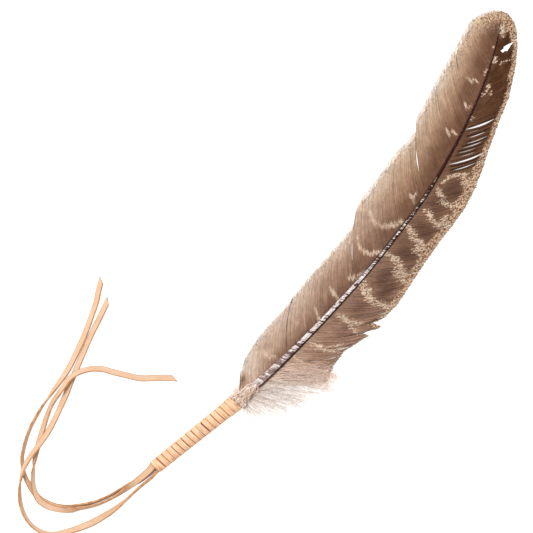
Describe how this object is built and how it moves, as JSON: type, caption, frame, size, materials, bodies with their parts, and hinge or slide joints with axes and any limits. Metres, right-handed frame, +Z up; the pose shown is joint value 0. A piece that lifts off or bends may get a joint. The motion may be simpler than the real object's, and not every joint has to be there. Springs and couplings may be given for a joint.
{
  "type": "turkey wing feather",
  "caption": "Barred turkey wing feather lying flat, its quill wound with a flat tan leather lace whose free tails lie in loose loops beside it.",
  "frame": {"origin": "on the surface that it lies on, under the middle of the box round feather and winding", "axes": "+X along the straight line from the lower end of the quill to the feather's tip, +Y to the side with the plain vane, +Z up"},
  "size_m": [0.3837, 0.1412, 0.0083],
  "materials": {
    "vane": "soft matt feather, brown and barred with cream",
    "shaft": "horny, pale and glossy at the base, dark brown towards the tip",
    "down": "soft white down",
    "lace": "undyed tan lace, matt, with browner cut edges"
  },
  "bodies": {
    "root": {"feather": "vane", "quill_wrap": "lace", "lace_tail_inner": "lace", "lace_tail_outer": "lace", "lace_tail_crossing": "lace"}
  },
  "joints": []
}
